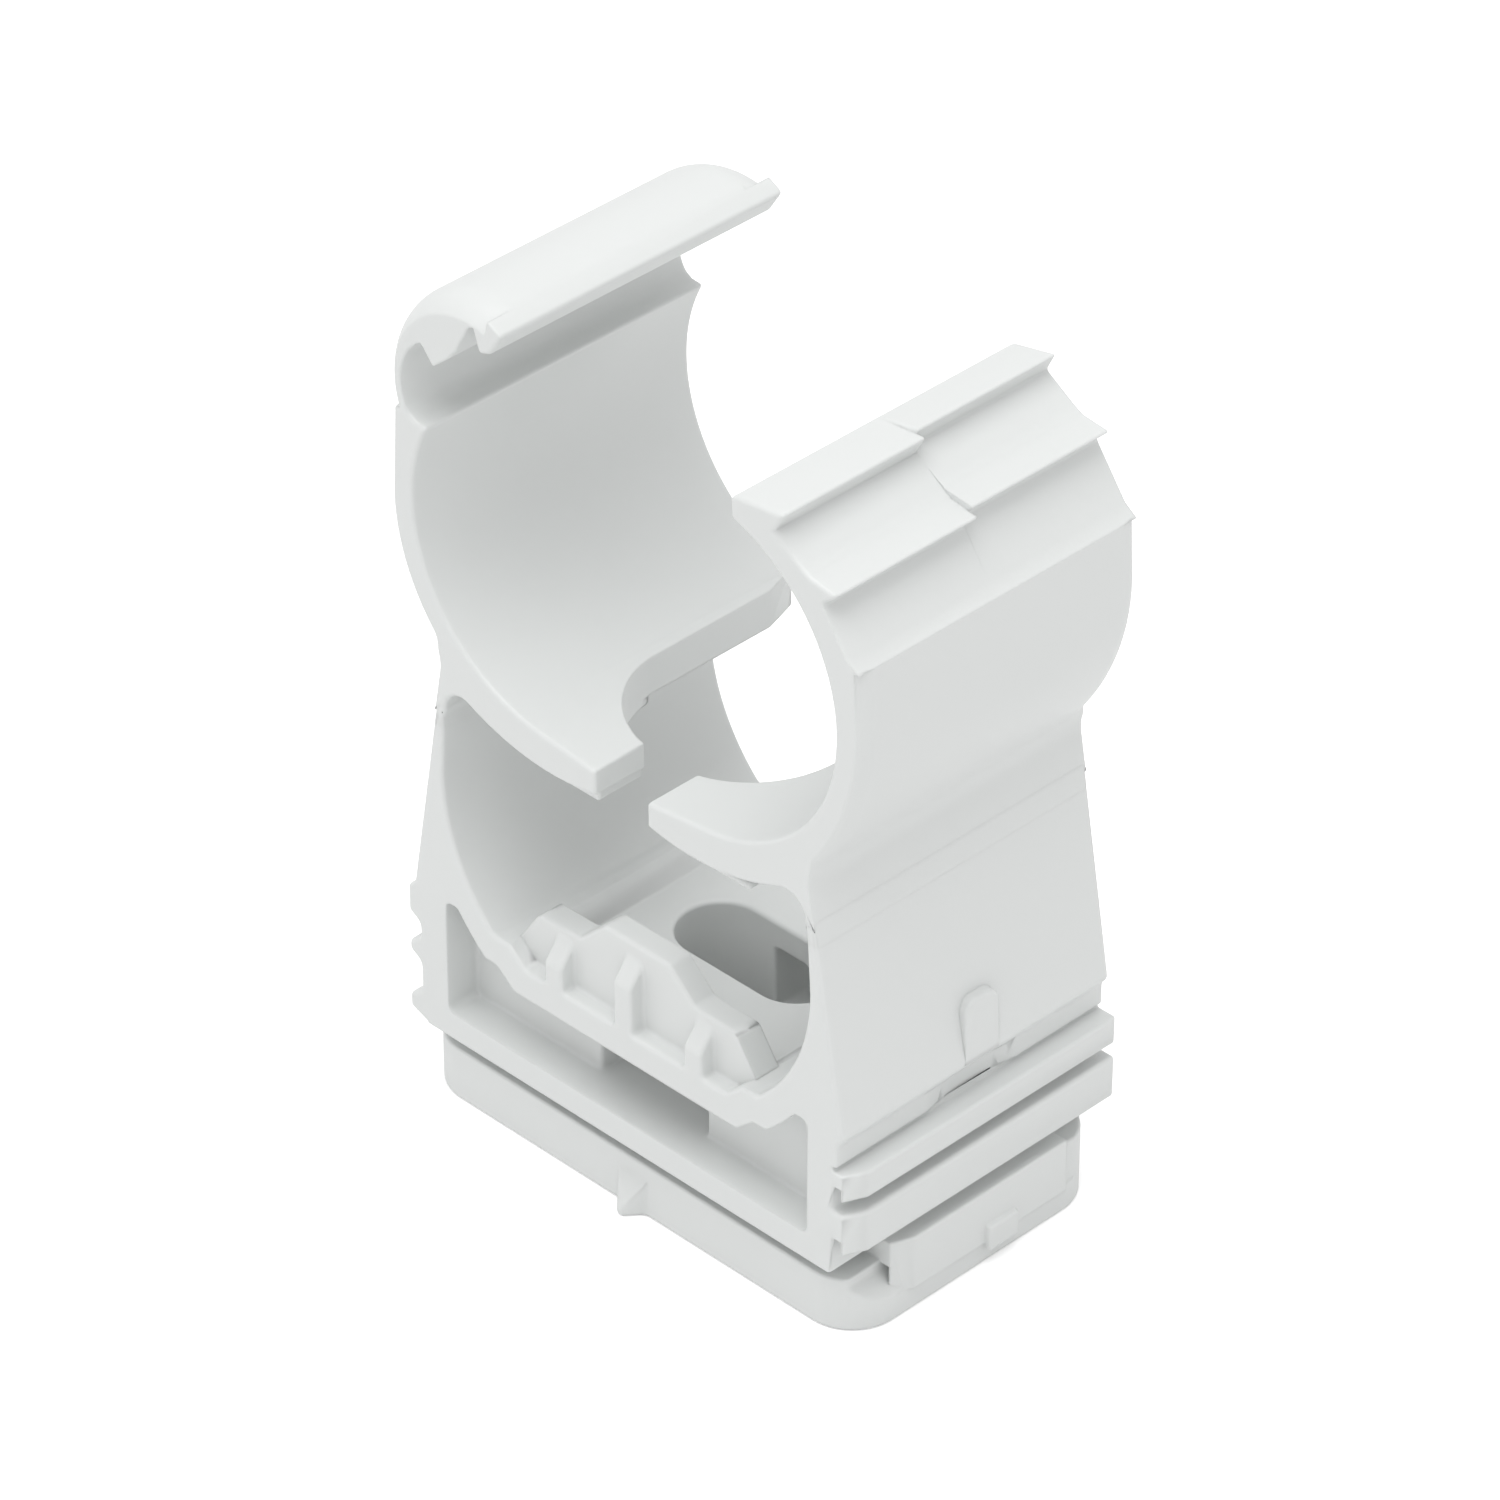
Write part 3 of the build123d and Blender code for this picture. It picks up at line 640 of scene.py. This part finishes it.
@dataclass
class FilmHinge:
    """The thin film at the top of a leg that the jaw bends on.

    Its faces stand a hair's breadth over leg and jaw beside the hinge and sink into both further off.
    Heights are measured upwards from the hinge's axis, and places across the film inwards from it.
    """

    jaw: Jaw
    thick_mm: float = 0.62
    lean_deg: float = 9.7       # of its outer face, from the upright
    depth_mm: float = 20.0
    proud_mm: float = 0.02      # over leg and jaw beside the hinge
    sunk_mm: float = 0.06       # inside leg and jaw at its ends
    even_mm: float = 0.6        # how far up and down it stands proud
    reach_mm: float = 1.1       # where it ends inside leg and jaw
    bend_mm: float = 0.45       # how far up and down it bends
    rows: int = 16              # of faces up each side
    arch_mm: float = 1.26       # radius of the jaw's arch over the hinge
    arch_in_mm: float = 1.74    # its centre from the hinge, inwards and upwards
    arch_up_mm: float = 0.6
    leg_slope: float = 0.047    # how the leg's inner wall leaves the upright below the hinge
    edge_mm: float = 0.24       # rounding at both ends
    edge_turns_deg: tuple[float, ...] = (90, 60, 30, 0)

    def build(self, material: bpy.types.Material) -> None:
        """Makes the film that joins leg and jaw over the hinge.

        Args:
            material: The plastic.
        """
        joint = next(joint for joint in frame["joints"] if joint["name"] == self.jaw.value)
        axis = Vector(joint["pos_m"])
        piece = dressed_object(f"{joint['child']}_film", self.shape(axis), material)
        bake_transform(piece)
        log.info("laid the film of %s", joint["child"])

    def swell(self, height: float) -> float:
        """How far the film's face stands over leg and jaw at a height, in millimetres."""
        share = max(0.0, abs(height) - self.even_mm) / (self.reach_mm - self.even_mm)
        return self.proud_mm - share * (self.proud_mm + self.sunk_mm)

    def inner(self, height: float) -> float:
        """Place of the inner face of leg, film and jaw at a height, inwards from the hinge's axis.

        Args:
            height: Height over the axis, in millimetres.

        Returns:
            The distance in millimetres.
        """
        half = self.thick_mm / 2
        foot_of_arch = self.arch_in_mm - self.arch_mm
        if height <= 0:
            return half + self.leg_slope * height
        if height <= self.arch_up_mm:
            return half + (foot_of_arch - half) * height / self.arch_up_mm
        rise = math.asin((height - self.arch_up_mm) / self.arch_mm)
        return self.arch_in_mm - self.arch_mm * math.cos(rise)

    def outer(self, height: float) -> float:
        """Place of the outer face at a height, in millimetres inwards from the hinge's axis: below zero."""
        lean = math.radians(self.lean_deg)
        return height * math.tan(lean) - self.thick_mm / 2 / math.cos(lean)

    def section(self, inset: float) -> list[tuple[float, float]]:
        """The film's outline across the pipe.

        Args:
            inset: How far the faces stand in, for the rounding at its ends, in millimetres.

        Returns:
            Points inwards and upwards from the hinge's axis, in millimetres, up the outer face first.
        """
        heights = [self.reach_mm * (2 * row / self.rows - 1) for row in range(self.rows + 1)]
        up = [(self.outer(h) - self.swell(h) + inset, h) for h in heights]
        down = [(self.inner(h) + self.swell(h) - inset, h) for h in reversed(heights)]
        return up + down

    def shape(self, axis: Vector) -> bmesh.types.BMesh:
        """Runs the outline along the pipe, with rounded edges at both ends.

        Args:
            axis: The middle of the hinge's axis, in metres.

        Returns:
            The closed mesh.
        """
        turns = [math.radians(angle) for angle in self.edge_turns_deg]
        ends = [(self.edge_mm * (1 - math.sin(a)), self.edge_mm * (1 - math.cos(a))) for a in turns]
        half = self.depth_mm / 2
        rings = [(half - back, inset) for back, inset in ends]
        rings += [(-place, inset) for place, inset in reversed(rings)]
        made = bmesh.new()
        loops = [self.ring(made, axis, place, inset) for place, inset in rings]
        for one, other in zip(loops, loops[1:]):
            for i, corner in enumerate(one):
                after = (i + 1) % len(one)
                made.faces.new((corner, one[after], other[after], other[i]))
        made.faces.new(loops[0])
        made.faces.new(reversed(loops[-1]))
        bmesh.ops.recalc_face_normals(made, faces=made.faces)
        return made

    def ring(
        self, made: bmesh.types.BMesh, axis: Vector, place: float, inset: float
    ) -> list[bmesh.types.BMVert]:
        """Adds one outline to the film's mesh.

        Args:
            made: The mesh.
            axis: The middle of the hinge's axis, in metres.
            place: Where the outline stands along the pipe, in millimetres.
            inset: How far its faces stand in, in millimetres.

        Returns:
            Its vertices in order.
        """
        side = math.copysign(1, axis.x)
        return [
            made.verts.new((
                axis.x - side * inwards * MM,
                math.copysign(abs(place) + self.swell(up), place) * MM,
                axis.z + up * MM,
            ))
            for inwards, up in self.section(inset)
        ]


@dataclass(frozen=True)
class Lamp:
    """A square soft lamp that faces the clip. Its place and size are in metres."""

    name: str
    place: tuple[float, float, float]
    size: float
    watts: float

    def hang(self, aim: Vector) -> None:
        """Hangs the lamp.

        Args:
            aim: The point that it faces.
        """
        data = bpy.data.lights.new(self.name, "AREA")
        data.size = self.size
        data.energy = self.watts
        lamp = bpy.data.objects.new(self.name, data)
        lamp.location = self.place
        lamp.rotation_euler = (aim - Vector(self.place)).to_track_quat("-Z", "Y").to_euler()
        bpy.context.scene.collection.objects.link(lamp)


@dataclass
class Studio:
    """The white floor, the soft light and the camera. Places and lengths are in metres."""

    floor_half: float = 3.0
    camera_place: tuple[float, float, float] = (0.23224, -0.23288, 0.25616)
    camera_azimuth: float = 45.0
    camera_elevation: float = 35.1
    camera_near: float = 0.01   # nothing closer to the camera is seen
    lens_mm: float = 185.6
    sensor_mm: float = 36.0
    sky: float = 0.82
    sky_seen: float = 1.1       # behind the clip the camera sees plain white
    lamps: tuple[Lamp, ...] = (Lamp("tent_top", (0.02, -0.12, 0.55), 0.4, 1.45),)

    def floor(self) -> None:
        """Lays the floor: plain white, with the clip's own soft shadow on it."""
        half = self.floor_half
        mesh = bpy.data.meshes.new("floor")
        corners = [(-half, -half, 0), (half, -half, 0), (half, half, 0), (-half, half, 0)]
        mesh.from_pydata(corners, [], [(0, 1, 2, 3)])
        mesh.materials.append(WhitePaper().material())
        floor = bpy.data.objects.new("floor", mesh)
        bpy.context.scene.collection.objects.link(floor)

    def light(self) -> None:
        """Lights the clip as in a light tent, brightest from above and the front."""
        world = bpy.data.worlds.new("light_tent")
        bpy.context.scene.world = world
        world.use_nodes = True
        tree = world.node_tree
        tree.nodes.clear()
        seen = add_node(tree, "ShaderNodeLightPath").outputs["Is Camera Ray"]
        strength = add_node(
            tree, "ShaderNodeMapRange", {"To Min": self.sky, "To Max": self.sky_seen}, {"Value": seen},
        )
        back = add_node(
            tree, "ShaderNodeBackground",
            {"Color": linear("ffffff")}, {"Strength": strength.outputs["Result"]},
        )
        add_node(tree, "ShaderNodeOutputWorld", links={"Surface": back.outputs["Background"]})
        low, high = CAD_BOX
        for lamp in self.lamps:
            lamp.hang((low + high) / 2)

    def camera(self) -> None:
        """Sets the camera at the photograph's place and angle."""
        data = bpy.data.cameras.new("camera")
        data.lens = self.lens_mm
        data.sensor_width = self.sensor_mm
        data.clip_start = self.camera_near
        camera = bpy.data.objects.new("camera", data)
        camera.location = self.camera_place
        tilt = math.radians(90 - self.camera_elevation)
        camera.rotation_euler = (tilt, 0, math.radians(self.camera_azimuth))
        bpy.context.scene.collection.objects.link(camera)
        bpy.context.scene.camera = camera

    def build(self) -> None:
        """Sets the colour transform and builds the floor, the light and the camera."""
        bpy.context.scene.view_settings.view_transform = "Standard"
        self.floor()
        self.light()
        self.camera()
        log.info("built the studio")


def main() -> None:
    """Builds the clip and the studio."""
    logging.basicConfig(level=logging.INFO, format="%(message)s")
    plastic = MouldedPolyamide().material()
    MouldedBody("base", eased=(PAD_FOOT,)).build(plastic)
    MouldedBody("hook_jaw", necks=(HOOK_NECK,)).build(plastic)
    MouldedBody("toothed_jaw", necks=(TOOTHED_NECK,)).build(plastic)
    for jaw in Jaw:
        FilmHinge(jaw).build(plastic)
    Studio().build()


if __name__ == "__main__":
    main()
